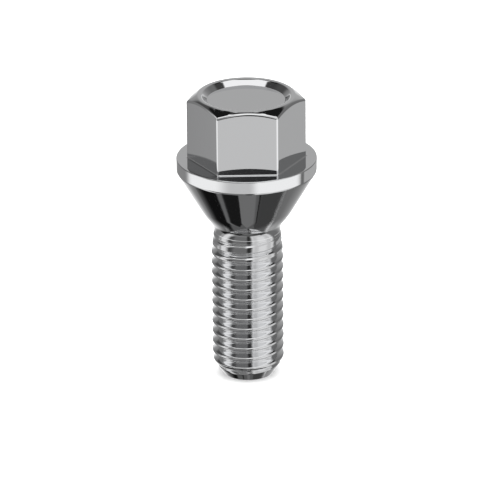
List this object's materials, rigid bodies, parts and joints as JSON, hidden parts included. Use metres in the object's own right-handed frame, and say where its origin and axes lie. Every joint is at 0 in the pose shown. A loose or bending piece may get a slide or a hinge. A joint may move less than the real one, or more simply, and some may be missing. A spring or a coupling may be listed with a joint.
{
  "type": "lug bolt",
  "caption": "Wheel lug bolt with a hollow-topped hexagon head, a flange, a long conical seat and a threaded shank with a chamfered point.",
  "frame": {"origin": "centre of the flat end of the shank, the lowest point of the bolt", "axes": "+Z along the bolt's axis, from the end of the shank to the head. Two flats of the hexagon are square to Y."},
  "size_m": [0.023, 0.023, 0.049],
  "materials": {
    "chrome_plate": "bright chrome plating"
  },
  "bodies": {
    "root": {"lug_bolt": "chrome_plate"}
  },
  "joints": []
}
